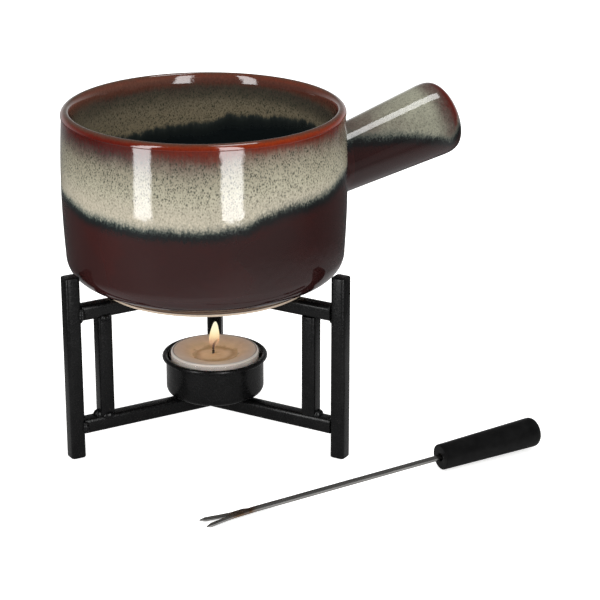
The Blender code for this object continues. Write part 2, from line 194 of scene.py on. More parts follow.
class Shape:
    """A mesh in the making: rings of points, the faces between them, and numbers kept on the points."""

    def __init__(self, *value_names):
        self.points = []
        self.faces = []
        self.normals = {}
        self.values = {name: [] for name in value_names}

    def ring(self, points, **values):
        """Adds a ring of points. Each value is one number for the ring, or a list with one for each point."""
        first = len(self.points)
        self.points += [Vector(point) for point in points]
        for name, kept in self.values.items():
            value = values.get(name, 0.0)
            kept += value if isinstance(value, list) else [value] * len(points)
        return list(range(first, len(self.points)))

    def join(self, first, second, left_open=()):
        """Faces between two rings with as many points each, but for the columns left open."""
        for i in range(len(first)):
            j = (i + 1) % len(first)
            if i not in left_open:
                self.faces.append((first[i], first[j], second[j], second[i]))

    def pole(self, ring, point, **values):
        """Closes a ring with a fan to one point."""
        (tip,) = self.ring([point], **values)
        for i in range(len(ring)):
            self.faces.append((ring[i], ring[(i + 1) % len(ring)], tip))

    def lathe(self, outline, count, **values):
        """Turns an outline of (r, z) points about Z. An end on the axis becomes a pole."""
        rings = []
        for index, (r, z) in enumerate(outline):
            here = {
                name: value[index] if isinstance(value, list) else value for name, value in values.items()
            }
            if r > 1e-7:
                rings.append(self.ring(circle(r, z, count), **here))
            elif rings:
                self.pole(rings[-1], (0.0, 0.0, z), **here)
            else:
                first_pole = ((0.0, 0.0, z), here)
        if outline[0][0] <= 1e-7:
            self.pole(rings[0], first_pole[0], **first_pole[1])
        for first, second in zip(rings, rings[1:]):
            self.join(first, second)
        if outline[0][0] > 1e-7 and outline[-1][0] > 1e-7:
            self.join(rings[-1], rings[0])

    def sweep(self, path, radii, count=24, **values):
        """A round rod through the points of a path, with a radius at each and closed ends."""
        rings = []
        for index, point in enumerate(path):
            before, after = path[max(index - 1, 0)], path[min(index + 1, len(path) - 1)]
            turn = (after - before).to_track_quat("Z", "Y")
            ring = [point + turn @ offset for offset in circle(radii[index], 0.0, count)]
            here = {name: value[index] for name, value in values.items()}
            rings.append(self.ring(ring, **here))
        for first, second in zip(rings, rings[1:]):
            self.join(first, second)
        for ring, point, index in ((rings[0], path[0], 0), (rings[-1], path[-1], -1)):
            self.pole(ring, point, **{name: value[index] for name, value in values.items()})

    def mesh(self, name, smooth_angle):
        made = bpy.data.meshes.new(name)
        made.from_pydata(self.points, [], self.faces)
        for value_name, numbers in self.values.items():
            attribute = made.attributes.new(value_name, "FLOAT", "POINT")
            attribute.data.foreach_set("value", np.array(numbers, np.float32))
        bm = bmesh.new()
        bm.from_mesh(made)
        bmesh.ops.recalc_face_normals(bm, faces=bm.faces)
        bm.to_mesh(made)
        bm.free()
        made.shade_smooth()
        made.set_sharp_from_angle(angle=math.radians(smooth_angle))
        if self.normals:
            normals = [self.normals.get(i, (0.0, 0.0, 0.0)) for i in range(len(self.points))]
            made.normals_split_custom_set_from_vertices(normals)
        return made


def add_piece(name, shape, surface, body, stands_for=(), at=None, smooth_angle=40.0):
    """Makes an object of a shape, at a place or under a matrix, and rides it on a CAD body."""
    made = bpy.data.objects.new(name, shape.mesh(name, smooth_angle))
    made.data.materials.append(surface)
    bpy.context.scene.collection.objects.link(made)
    if isinstance(at, Matrix):
        made.matrix_world = at
    elif at is not None:
        made.location = at
    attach(made, body)
    if stands_for:
        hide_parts(*stands_for)
    return made


# ---------------------------------------------------------------- places read from the frame
leg_middles = [middle(f"{side}_leg") for side in ARM_ANGLES]
stand_axis = sum(leg_middles, Vector()) / len(leg_middles)
stand_axis.z = 0.0
leg_radius = (middle("rear_leg") - stand_axis).y
bar_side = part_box("rear_leg")[1].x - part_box("rear_leg")[0].x
upright_radius = (middle("rear_inner_upright") - stand_axis).y
lower_rail_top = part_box("rear_lower_rail")[1].z
upper_rail_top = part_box("rear_upper_rail")[1].z
pot_low, pot_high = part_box("fondue_pot")
pot_base = pot_low + Vector((POT_WIDEST, POT_WIDEST, 0.0))
pot_height = pot_high.z - pot_low.z
cup_low, cup_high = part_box("tealight_cup")
tealight_base = Vector(((cup_low.x + cup_high.x) / 2, (cup_low.y + cup_high.y) / 2, cup_low.z))
tealight_radius = (cup_high.x - cup_low.x) / 2
holder_low, holder_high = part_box("tealight_holder")


# ---------------------------------------------------------------- material helper
NOISE_RANGE = (0.3, 0.7)        # where nearly all of a noise's values lie


class Surface:
    """A material, and short calls that wire up its nodes."""

    def __init__(self, name, **fixed):
        self.material = bpy.data.materials.new(name)
        self.material.use_nodes = True
        self.tree = self.material.node_tree
        self.shader = self.tree.nodes["Principled BSDF"]
        for socket, value in fixed.items():
            self.shader.inputs[socket.replace("_", " ")].default_value = value

    def add(self, kind, **settings):
        node = self.tree.nodes.new(kind)
        for setting, value in settings.items():
            setattr(node, setting, value)
        return node

    def feed(self, socket, value):
        """Sets a socket to a number or colour, or links it to another node's output."""
        if isinstance(value, bpy.types.NodeSocket):
            self.tree.links.new(value, socket)
        elif hasattr(value, "__len__") and len(value) == 3 and len(socket.default_value) == 4:
            socket.default_value = (*value, 1.0)
        else:
            socket.default_value = value

    def set(self, socket, value):
        self.feed(self.shader.inputs[socket], value)

    def place(self, stretch=(1.0, 1.0, 1.0)):
        """The point on the object, in its own frame, stretched."""
        source = self.add("ShaderNodeTexCoord").outputs["Object"]
        if stretch == (1.0, 1.0, 1.0):
            return source
        mapping = self.add("ShaderNodeMapping")
        self.feed(mapping.inputs["Vector"], source)
        mapping.inputs["Scale"].default_value = stretch
        return mapping.outputs["Vector"]

    def value(self, name):
        return self.add("ShaderNodeAttribute", attribute_name=name).outputs["Fac"]

    def calc(self, operation, a, b=0.0, c=0.0):
        node = self.add("ShaderNodeMath", operation=operation)
        for socket, value in zip(node.inputs, (a, b, c)):
            self.feed(socket, value)
        return node.outputs["Value"]

    def span(self, value, low, high, to_low=0.0, to_high=1.0):
        """The value taken smoothly from one range to another, and held at its ends."""
        node = self.add("ShaderNodeMapRange", interpolation_type="SMOOTHSTEP")
        for socket, number in zip(node.inputs, (value, low, high, to_low, to_high)):
            self.feed(socket, number)
        return node.outputs["Result"]

    def blend(self, share, a, b, mode="MIX"):
        node = self.add("ShaderNodeMix", data_type="RGBA", blend_type=mode)
        self.feed(node.inputs["Factor"], share)
        self.feed(node.inputs[6], a)
        self.feed(node.inputs[7], b)
        return node.outputs[2]

    def blend_values(self, share, a, b):
        return self.calc("MULTIPLY_ADD", share, self.calc("SUBTRACT", b, a), a)

    def ramp(self, value, low, high, stops):
        """A colour ramp between two values. Stops are {value: colour}."""
        node = self.add("ShaderNodeValToRGB")
        elements = node.color_ramp.elements
        for index, (at, colour) in enumerate(stops.items()):
            element = elements[index] if index < 2 else elements.new(1.0)
            element.position = (at - low) / (high - low)
            element.color = (*colour, 1.0)
        linear = self.add("ShaderNodeMapRange")
        for socket, number in zip(linear.inputs, (value, low, high, 0.0, 1.0)):
            self.feed(socket, number)
        self.feed(node.inputs["Fac"], linear.outputs["Result"])
        return node.outputs["Color"]

    def noise(self, scale, detail=2.0, stretch=(1.0, 1.0, 1.0), rough=0.5):
        node = self.add("ShaderNodeTexNoise")
        self.feed(node.inputs["Vector"], self.place(stretch))
        node.inputs["Scale"].default_value = scale
        node.inputs["Detail"].default_value = detail
        node.inputs["Roughness"].default_value = rough
        return node.outputs["Fac"]

    def wander(self, scale, detail=2.0, stretch=(1.0, 1.0, 1.0), rough=0.5):
        """Noise about zero."""
        return self.calc("SUBTRACT", self.noise(scale, detail, stretch, rough), 0.5)

    def mottled(self, dark, light, scale, detail=2.0):
        """Noise as a colour between two."""
        low, high = NOISE_RANGE
        return self.ramp(self.noise(scale, detail), low, high, {low: dark, high: light})

    def uneven(self, low, high, scale, detail=2.0, stretch=(1.0, 1.0, 1.0)):
        """Noise as a number between two."""
        return self.span(self.noise(scale, detail, stretch), *NOISE_RANGE, low, high)

    def cells(self, scale, stretch=(1.0, 1.0, 1.0)):
        """(distance from the nearest of scattered points, a random number for that point)"""
        node = self.add("ShaderNodeTexVoronoi")
        self.feed(node.inputs["Vector"], self.place(stretch))
        node.inputs["Scale"].default_value = scale
        split = self.add("ShaderNodeSeparateColor")
        self.feed(split.inputs[0], node.outputs["Color"])
        return node.outputs["Distance"], split.outputs[0]

    def bump(self, height, distance, strength=1.0, on_top_of=None):
        node = self.add("ShaderNodeBump")
        node.inputs["Strength"].default_value = strength
        node.inputs["Distance"].default_value = distance
        self.feed(node.inputs["Height"], height)
        if on_top_of is not None:
            self.feed(node.inputs["Normal"], on_top_of)
        return node.outputs["Normal"]


# ---------------------------------------------------------------- materials
def glaze_surface():
    """Reactive glaze: rust where it breaks over an edge, speckled cream, a teal-black run, maroon below."""
    s = Surface("reactive_glaze", IOR=1.5)
    edge, line, rust = s.value("edge_mm"), s.value("line_mm"), s.value("rust")
    inside, foot = s.value("inside"), s.value("foot_mm")
    wide = s.wander(45.0, 3.0)
    patches = s.wander(130.0, 3.0)
    streaks = s.wander(850.0, 3.0, (1.0, 1.0, 0.22))
    drips = s.wander(330.0, 4.0, (1.0, 1.0, 0.30), 0.65)
    grain = s.wander(1300.0, 3.0, (1.0, 1.0, 0.7), 0.7)
    fine = s.wander(2600.0, 2.0, (1.0, 1.0, 0.6))

    # The edge of the run wanders and is stippled; inside the pot it ends in short upright drips.
    stipple = s.calc("MULTIPLY_ADD", grain, 5.2, s.calc("MULTIPLY", streaks, 2.4))
    drip = s.calc("MULTIPLY_ADD", drips, 6.0, s.calc("MULTIPLY", grain, 1.5))
    level = s.calc("MULTIPLY_ADD", wide, 3.0, line)
    level = s.calc("ADD", level, s.blend_values(inside, stipple, drip))
    unsteady = s.calc("MULTIPLY_ADD", streaks, 3.4, s.calc("MULTIPLY", patches, 4.2))
    shade = s.calc("MULTIPLY_ADD", unsteady, s.span(edge, 2.0, 8.0, 0.3, 1.0), edge)

    # Colours by millimetres from the lip: where the rust is bright, where it is dull, and inside the pot.
    bright = s.ramp(shade, 0.0, 30.0, {
        0.0: (0.085, 0.036, 0.024), 1.2: (0.120, 0.028, 0.012), 2.2: (0.235, 0.026, 0.0025),
        3.3: (0.205, 0.018, 0.0025), 4.4: (0.165, 0.026, 0.013), 5.6: (0.165, 0.068, 0.048),
        8.0: (0.235, 0.185, 0.138), 12.0: (0.350, 0.318, 0.236), 20.0: (0.470, 0.440, 0.330),
        26.0: (0.520, 0.475, 0.370),
    })
    dull = s.ramp(shade, 0.0, 30.0, {
        0.0: (0.080, 0.054, 0.040), 1.4: (0.085, 0.030, 0.018), 2.6: (0.110, 0.006, 0.0015),
        4.2: (0.072, 0.0040, 0.0022), 5.6: (0.066, 0.011, 0.010), 7.6: (0.080, 0.040, 0.036),
        10.5: (0.160, 0.128, 0.100), 14.0: (0.285, 0.258, 0.190), 22.0: (0.440, 0.412, 0.310),
        29.0: (0.530, 0.480, 0.375),
    })
    sheltered = s.ramp(shade, 0.0, 30.0, {
        0.0: (0.120, 0.080, 0.062), 2.4: (0.150, 0.062, 0.040), 4.6: (0.110, 0.044, 0.030),
        6.4: (0.096, 0.070, 0.052), 9.0: (0.130, 0.108, 0.074), 13.0: (0.200, 0.168, 0.112),
        20.0: (0.250, 0.208, 0.134),
    })
    # Inside, where the rust is strong, it is redder, with a smoky band below it.
    sheltered = s.blend(s.calc("MULTIPLY", s.span(edge, 7.0, 4.0), rust), sheltered, (0.085, 0.018, 0.011))
    smoky = s.calc("MULTIPLY", s.span(edge, 4.0, 7.0), s.span(edge, 14.0, 9.0))
    smoky = s.calc("MULTIPLY", s.calc("MULTIPLY", smoky, rust), 0.8)
    sheltered = s.blend(smoky, sheltered, (0.036, 0.033, 0.028))
    upper = s.blend(inside, s.blend(rust, dull, bright), sheltered)

    # Iron specks, thickest below the rust band and thinning out further down.
    speckled = s.calc("MULTIPLY", s.span(edge, 3.0, 8.0), s.span(edge, 30.0, 19.0, 0.35, 1.0))
    speckled = s.calc("MULTIPLY", speckled, s.value("specks"))
    soft = 0.12
    for scale, size, share, strength in ((1600.0, 0.50, 0.86, 0.66), (760.0, 0.33, 0.84, 0.80)):
        distance, chance = s.cells(scale, (1.0, 1.0, 0.68))
        kept = s.span(chance, share + soft, share - soft)
        dot = s.calc("MULTIPLY", s.span(distance, size, size * 0.5), kept)
        seen = s.calc("MULTIPLY", s.calc("MULTIPLY", dot, speckled), strength)
        upper = s.blend(seen, upper, (0.034, 0.040, 0.028))
    on_handle = s.span(s.value("specks"), 0.9, 0.5)
    upper = s.blend(on_handle, upper, s.blend(1.0, upper, (0.86, 0.93, 0.96), "MULTIPLY"))
    mottle = s.calc("MULTIPLY_ADD", fine, 0.7, s.calc("MULTIPLY_ADD", grain, 0.9, 1.0))
    upper = s.blend(1.0, upper, mottle, "MULTIPLY")

    # Colours by millimetres above the glaze line: maroon, the dark run at the line, and pale above it.
    lower = s.ramp(level, -12.0, 6.0, {
        -12.0: (0.038, 0.0112, 0.0106), -4.0: (0.040, 0.0114, 0.0108), -2.2: (0.031, 0.0118, 0.0114),
        -0.8: (0.0095, 0.0105, 0.0115), 0.5: (0.013, 0.018, 0.018), 1.7: (0.068, 0.084, 0.074),
        3.4: (0.210, 0.228, 0.188), 5.9: (0.480, 0.465, 0.370),
    })
    redder = s.calc("MULTIPLY", s.span(wide, 0.02, 0.16), s.span(level, -1.5, -5.0, 0.0, 0.40))
    lower = s.blend(redder, lower, (0.054, 0.0090, 0.0075))
    # Painted shade: the maroon is darkened where the rust is strong, mostly on the pot's right front, and on
    # the handle's underside.
    painted_shade = s.calc("MULTIPLY", s.calc("MAXIMUM", rust, on_handle), 0.45)
    lower = s.blend(painted_shade, lower, (0.006, 0.003, 0.003))
    lower = s.blend(inside, lower, s.ramp(level, -6.0, 3.0, {
        -6.0: (0.0090, 0.0125, 0.0135), -2.0: (0.017, 0.021, 0.020), 0.0: (0.032, 0.038, 0.034),
        3.0: (0.110, 0.105, 0.078),
    }))
    # The upper glaze covers the lower over a few millimetres above the line.
    start = s.calc("MULTIPLY_ADD", inside, -1.6, 1.2)
    cover = s.calc("DIVIDE", s.calc("SUBTRACT", level, start), s.calc("MULTIPLY_ADD", inside, -2.0, 4.4))
    colour = s.blend(s.span(cover, 0.0, 1.0), lower, upper)

    # The foot: a brown band with dark edges above, and bare clay below it to stand on.
    clay = s.mottled((0.60, 0.46, 0.34), (0.76, 0.62, 0.49), 1800.0, 3.0)
    foot_band = s.ramp(s.calc("MULTIPLY_ADD", grain, 0.5, foot), 1.0, 3.0, {
        1.35: (0.040, 0.018, 0.012), 1.55: (0.170, 0.108, 0.070),
        2.00: (0.150, 0.092, 0.062), 2.20: (0.030, 0.012, 0.009),
    })
    colour = s.blend(s.span(foot, 2.6, 3.2), foot_band, colour)
    bare = s.span(foot, 1.15, 0.95)
    s.set("Base Color", s.blend(bare, colour, clay))
    gloss = s.span(fine, -0.2, 0.3, 0.045, 0.085)
    s.set("Roughness", s.calc("MULTIPLY_ADD", bare, 0.75, gloss))
    dimples = s.bump(s.noise(260.0, 1.0), 0.00009, 0.5)
    s.set("Normal", s.bump(grain, 0.00003, 0.35, dimples))
    return s.material


def coating_surface():
    """Black powder coating, satin, with its fine orange peel."""
    s = Surface("black_powder_coat", Specular_IOR_Level=0.18)
    s.set("Base Color", s.mottled((0.0034, 0.0035, 0.0036), (0.0066, 0.0066, 0.0068), 240.0, 4.0))
    s.set("Roughness", s.uneven(0.20, 0.30, 900.0, 3.0))
    peel = s.bump(s.noise(1500.0, 2.0), 0.00006, 0.5)
    s.set("Normal", s.bump(s.noise(5200.0, 2.0), 0.00002, 0.5, peel))
    return s.material


def wax_surface():
    """Warm wax: a golden molten ring round the wick, paler outwards, and a thin dark line at the cup."""
    s = Surface(
        "candle_wax", IOR=1.44, Subsurface_Weight=0.25, Subsurface_Scale=0.003,
        Subsurface_Radius=(1.0, 0.6, 0.4),
    )
    cloudy = s.wander(300.0, 3.0)
    from_axis = s.value("reach_mm")
    reach = s.calc("MULTIPLY_ADD", cloudy, s.span(from_axis, 17.0, 13.0, 0.0, 5.0), from_axis)
    colour = s.ramp(reach, 0.0, 20.0, {
        0.0: (0.45, 0.310, 0.165), 2.2: (0.62, 0.470, 0.320), 5.2: (0.66, 0.510, 0.360),
        7.6: (0.45, 0.320, 0.185), 9.6: (0.66, 0.505, 0.345), 13.5: (0.76, 0.580, 0.440),
        17.2: (0.79, 0.640, 0.520), 17.5: (0.26, 0.185, 0.150), 17.8: (0.84, 0.765, 0.695),
    })
    s.set("Base Color", s.blend(1.0, colour, s.calc("MULTIPLY_ADD", cloudy, 0.25, 1.0), "MULTIPLY"))
    s.set("Roughness", s.span(reach, 8.0, 11.0, 0.14, 0.42))
    s.set("Normal", s.bump(cloudy, 0.00025, 0.5))
    return s.material


def cup_surface():
    """Clear moulded cup: nearly all see-through, with a glossy face."""
    s = Surface("clear_moulded_cup", IOR=1.49, Roughness=0.08)
    s.set("Base Color", s.mottled((0.80, 0.74, 0.68), (0.90, 0.84, 0.78), 500.0))
    s.set("Alpha", s.uneven(0.08, 0.15, 300.0))
    return s.material


def wick_surface():
    """Braided cotton, charred, with a last glow at its tip."""
    s = Surface("charred_wick", Roughness=0.9, Emission_Strength=1.0)
    up = s.value("up")
    braid = s.noise(3800.0, 2.0, (1.0, 1.0, 0.5))
    s.set("Base Color", s.ramp(braid, 0.3, 0.7, {0.3: (0.006, 0.004, 0.003), 0.7: (0.040, 0.026, 0.018)}))
    s.set("Emission Color", s.ramp(up, 0.0, 1.0, {
        0.0: (0.0, 0.0, 0.0), 0.86: (0.0, 0.0, 0.0), 1.0: (0.5, 0.10, 0.02),
    }))
    s.set("Normal", s.bump(braid, 0.0003, 0.8))
    return s.material


def flame_surface():
    """Bright and full at the top, thin and see-through round the wick."""
    s = Surface("flame", Roughness=1.0, Specular_IOR_Level=0.0, Emission_Strength=1.3)
    s.set("Base Color", (0.0, 0.0, 0.0))
    up = s.calc("ADD", s.value("up"), s.calc("MULTIPLY", s.wander(260.0), 0.12))
    s.set("Emission Color", s.ramp(up, 0.0, 1.0, {
        0.0: (0.55, 0.26, 0.20), 0.20: (0.80, 0.42, 0.28), 0.36: (0.90, 0.55, 0.30), 0.52: (0.84, 0.66, 0.36),
        0.70: (0.84, 0.74, 0.48), 1.0: (0.80, 0.74, 0.56),
    }))
    s.set("Alpha", s.span(up, 0.16, 0.74, 0.08, 0.97))
    return s.material


def tin_surface():
    """Tinned sheet, lightly rolled one way."""
    s = Surface("tinned_sheet", Metallic=1.0)
    s.set("Base Color", s.mottled((0.46, 0.46, 0.47), (0.64, 0.64, 0.65), 900.0, 3.0))
    s.set("Roughness", s.uneven(0.26, 0.42, 2400.0, 2.0, (1.0, 0.1, 1.0)))
    return s.material


def steel_surface():
    """Drawn steel wire, with the straw and brown tint that the weld left."""
    s = Surface("drawn_steel", Metallic=1.0)
    along = s.value("along_mm")
    drawn = s.noise(2600.0, 3.0, (0.04, 1.0, 1.0))
    steel = s.ramp(drawn, 0.3, 0.7, {0.3: (0.34, 0.335, 0.32), 0.7: (0.52, 0.51, 0.49)})
    heat = s.calc("MULTIPLY", s.span(along, 9.0, 14.0), s.span(along, 25.0, 20.0))
    patchy = s.calc("MULTIPLY", heat, s.span(s.noise(420.0, 3.0), 0.25, 0.60, 0.35, 1.0))
    tint = s.ramp(s.noise(260.0, 2.0), 0.35, 0.65, {0.35: (0.16, 0.085, 0.045), 0.65: (0.30, 0.20, 0.13)})
    s.set("Base Color", s.blend(patchy, steel, tint))
    s.set("Roughness", s.span(drawn, 0.3, 0.7, 0.16, 0.26))
    s.set("Normal", s.bump(drawn, 0.00002, 0.5))
    return s.material


def plastic_surface():
    """Black moulded handle, satin, with a fine spark-eroded grain."""
    s = Surface("moulded_handle", Specular_IOR_Level=0.10)
    s.set("Base Color", s.mottled((0.0050, 0.0050, 0.0051), (0.0090, 0.0090, 0.0092), 300.0, 3.0))
    s.set("Roughness", s.uneven(0.36, 0.48, 700.0, 3.0))
    s.set("Normal", s.bump(s.noise(4200.0, 2.0), 0.00003, 0.5))
    return s.material


# ---------------------------------------------------------------- stand
def bar_section(side, corner, steps=6):
    """(y, z) points round a square bar with rounded corners, with one at the middle of each side."""
    half = side / 2
    reach = half - corner
    points = []
    for quarter in range(4):
        turn = math.radians(90.0 * quarter)
        points.append((half * math.cos(turn), half * math.sin(turn)))
        for i in range(steps + 1):
            angle = math.radians(90.0 * i / steps)
            x, y = reach + corner * math.cos(angle), reach + corner * math.sin(angle)
            points.append((x * math.cos(turn) - y * math.sin(turn), x * math.sin(turn) + y * math.cos(turn)))
    return points


def bar_shape(length, rounding, pointed=False):
    """A square bar along +X from the origin, its ends eased. A pointed one starts in a 120 degree wedge."""
    shape = Shape()
    steps = 4
    point_slope = math.tan(math.radians(30.0)) if pointed else 0.0
    inner, outer = [], []
    for i in range(steps + 1):
        angle = math.radians(90.0 * i / steps)
        inset, back = rounding * (1 - math.sin(angle)), rounding * (1 - math.cos(angle))
        section = bar_section(bar_side - 2 * inset, BAR_CORNER - inset)
        start = [(back + abs(y) * point_slope, y, z) for y, z in section]
        inner.append(shape.ring(start))
        outer.append(shape.ring([(length - back, y, z) for y, z in section]))
    for rings in (inner, outer):
        for first, second in zip(rings, rings[1:]):
            shape.join(first, second)
    shape.join(inner[-1], outer[-1])
    shape.pole(inner[0], (0.0, 0.0, 0.0))
    shape.pole(outer[0], (length, 0.0, 0.0))
    return shape


def weld_bead(shape, start, end, size, seed):
    """A lumpy weld bead along the line where two bars meet."""
    steps, count = 22, 14
    path, radii = [], []
    for i in range(steps + 1):
        t = i / steps
        point = start.lerp(end, t)
        wobble = noise.noise(Vector((seed * 7.3, t * 5.0, 0.5)))
        ripple = math.sin(t * math.tau * (end - start).length / 0.0017 + seed)
        taper = min(1.0, math.sin(math.pi * min(max(t, 0.02), 0.98)) * 2.2) ** 0.5
        path.append(point)
        radii.append(size * taper * (1.0 + 0.35 * wobble + 0.10 * ripple))
    shape.sweep(path, radii, count)


def make_arm(side, angle, coating):
    """Leg, inner upright, two rails and their welds, in a frame turned to the arm's angle."""
    turn = Matrix.Translation(stand_axis) @ Matrix.Rotation(math.radians(angle), 4, "Z")
    upright = Matrix.Rotation(math.radians(-90.0), 4, "Y")
    rail_end = leg_radius - bar_side / 2
    leg_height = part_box(f"{side}_leg")[1].z
    rail_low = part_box("rear_upper_rail")[0]
    inner_end = rail_low.y - stand_axis.y
    pieces = {
        "leg": (bar_shape(leg_height, FREE_END_ROUNDING), Matrix.Translation((leg_radius, 0, 0)) @ upright),
        "inner_upright": (
            bar_shape(rail_low.z - lower_rail_top, UPRIGHT_END_ROUNDING),
            Matrix.Translation((upright_radius, 0, lower_rail_top)) @ upright,
        ),
        "upper_rail": (
            bar_shape(rail_end - inner_end - RAIL_GAP, FREE_END_ROUNDING),
            Matrix.Translation((inner_end, 0, upper_rail_top - bar_side / 2)),
        ),
        "lower_rail": (
            bar_shape(rail_end, WELDED_END_ROUNDING, pointed=True),
            Matrix.Translation((0, 0, lower_rail_top - bar_side / 2)),
        ),
    }
    for name, (shape, local) in pieces.items():
        add_piece(
            f"{side}_{name}_coated", shape, coating, "stand", [f"{side}_{name}"],
            at=turn @ local, smooth_angle=50.0,
        )
    half = bar_side / 2
    face = half - WELD_INSET / 4
    left, right = WELD_INSET - half, half - WELD_INSET
    upper_bottom, lower_bottom = upper_rail_top - bar_side, lower_rail_top - bar_side
    upright_inside, upright_outside = upright_radius - half, upright_radius + half
    welds = Shape()
    # Each seam runs between two points (out along the arm, across it, up), with its bead's radius.
    seams = [
        ((rail_end, face, bottom + WELD_INSET), (rail_end, face, top - WELD_INSET), 0.0014)
        for bottom, top in ((upper_bottom, upper_rail_top), (lower_bottom, lower_rail_top))
    ]
    seams += [
        ((rail_end, left, height), (rail_end, right, height), size)
        for height, size in ((lower_rail_top, 0.0011), (upper_bottom, 0.0009))
    ]
    seams += [
        ((upright_inside + WELD_INSET, face, height), (upright_outside - WELD_INSET, face, height), size)
        for height, size in ((upper_bottom, 0.0015), (lower_rail_top, 0.0014))
    ]
    seams.append(((upright_outside, left, lower_rail_top), (upright_outside, right, lower_rail_top), 0.0017))
    for index, (start, end, size) in enumerate(seams):
        weld_bead(welds, Vector(start), Vector(end), size, index + angle)
    add_piece(f"{side}_arm_welds", welds, coating, "stand", at=turn, smooth_angle=60.0)


def make_holder(coating):
    """The pressed cup that holds the tealight, with its rim rolled outwards."""
    height = holder_high.z - holder_low.z - HOLDER_SET_DOWN
    outside = (holder_high.x - holder_low.x) / 2
    bead_centre = (outside - HOLDER_BEAD, height - HOLDER_BEAD)
    wall = bead_centre[0] - HOLDER_BEAD_PROUD
    inner = wall - HOLDER_WALL
    corner_inside = HOLDER_CORNER - HOLDER_WALL
    outline = [(0.0, HOLDER_WALL), (inner * 0.5, HOLDER_WALL)]
    outline += arc((inner - corner_inside, HOLDER_CORNER), (corner_inside, corner_inside), -90.0, 0.0, 8)
    outline += arc(bead_centre, (bead_centre[0] - inner, HOLDER_BEAD), 180.0, 90.0, 8)
    outline += arc(bead_centre, (HOLDER_BEAD, HOLDER_BEAD), 90.0, -132.0, 20)[1:]
    outline += arc((wall - HOLDER_CORNER, HOLDER_CORNER), (HOLDER_CORNER, HOLDER_CORNER), 0.0, -90.0, 10)
    outline += [(inner * 0.5, 0.0), (0.0, 0.0)]
    shape = Shape()
    shape.lathe(outline, 128)
    place = (holder_low + holder_high) / 2
    place.z = holder_low.z
    add_piece(
        "tealight_holder_pressed", shape, coating, "stand", ["tealight_holder"], at=place
    )


# ---------------------------------------------------------------- tealight
def make_tealight(wax_look, cup_look, wick_look, flame_look):
    """Clear cup, dished wax with its melted pool, hooked wick and flame."""
    cup_height = cup_high.z - cup_low.z
    inner = tealight_radius - CUP_WALL
    inside = CUP_CORNER - CUP_WALL
    centre = (tealight_radius - CUP_CORNER, CUP_CORNER)
    cup = Shape()
    outline = [(0.0, CUP_WALL)] + arc(centre, (inside, inside), -90.0, 0.0, 5)
    lip = CUP_WALL / 2
    outline += arc((inner + lip, cup_height - lip), (lip, lip), 180.0, 0.0, 6)
    outline += arc(centre, (CUP_CORNER, CUP_CORNER), 0.0, -90.0, 5) + [(0.0, 0.0)]
    cup.lathe(outline, 128)
    add_piece(
        "tealight_cup_clear", cup, cup_look, "tealight", ["tealight_cup"], at=tealight_base
    )

    wax = Shape("reach_mm")
    gap = 0.0001
    pool_top = WAX_HEIGHT - POOL_DEPTH
    wax_radius = inner - gap
    shoulder = wax_radius - WAX_FLAT_RADIUS - 0.0002
    # The wax creeps up the wick, and up the bank round the pool: (distance, height above the pool).
    creep = ((0.0, 0.0005), (0.0008, 0.0004), (0.0016, 0.0001), (0.003, 0.0))
    bank = ((0.0020, 0.0), (0.0009, 0.00012), (0.0004, 0.0004), (0.0, 0.00062))
    outline = [(r, pool_top + rise) for r, rise in creep]
    outline += [(POOL_RADIUS - inwards, pool_top + rise) for inwards, rise in bank]
    steps = 10
    dish_top = pool_top + 0.0007
    for i in range(1, steps + 1):
        t = i / steps
        rise = 1 - (1 - t) ** 1.9
        outline.append((mix(POOL_RADIUS, WAX_FLAT_RADIUS - 0.0003, t), mix(dish_top, WAX_HEIGHT, rise)))
    outline += [(WAX_FLAT_RADIUS, WAX_HEIGHT - 0.00018)]
    outline += arc((wax_radius - shoulder, WAX_HEIGHT - shoulder), (shoulder, shoulder), 90.0, 0.0, 7)
    outline += arc(centre, (inside - gap, inside - gap), 0.0, -90.0, 5) + [(0.0, CUP_WALL + gap)]
    wax.lathe(outline, 128, reach_mm=[MM * point[0] for point in outline])
    add_piece(
        "tealight_wax_dished", wax, wax_look, "tealight", ["tealight_wax"], at=tealight_base
    )

    wick_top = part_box("wick")[1]
    reach = wick_top.x - tealight_base.x - WICK_RADIUS
    height = wick_top.z - tealight_base.z
    path, up = [], []
    steps = 24
    for i in range(steps + 1):
        t = i / steps
        lean = smooth_step(0.45, 1.05, t)
        x = reach * WICK_HOOK * lean - WICK_FOOT_OFFSET * (1 - lean)
        z = mix(pool_top - WICK_SUNK, height - WICK_SHORTFALL, math.sin(t * math.pi / 2))
        path.append(Vector((x, 0.0, z)))
        up.append(t)
    wick = Shape("up")
    wick.sweep(path, [WICK_RADIUS * (1.0 - WICK_THINNING * t) for t in up], 16, up=up)
    add_piece("wick_charred", wick, wick_look, "tealight", ["wick"], at=tealight_base)

    flame = Shape("up")
    bottom = pool_top + FLAME_ABOVE_POOL
    path, radii, up = [], [], []
    steps = 40
    for i in range(steps + 1):
        t = i / steps
        belly = math.sin(math.pi * t ** 0.74) ** mix(1.2, 0.5, t) if 0 < t < 1 else 0.0
        sway = FLAME_SWAY * (1 - t)
        path.append(Vector((FLAME_OFFSET - sway, 0.0, mix(bottom, FLAME_TIP, t))))
        radii.append(max(FLAME_THINNEST, FLAME_RADIUS * belly))
        up.append(t)
    flame.sweep(path, radii, 32, up=up)
    made = add_piece("candle_flame", flame, flame_look, "tealight", at=tealight_base)
    made.visible_shadow = False
    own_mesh(made)


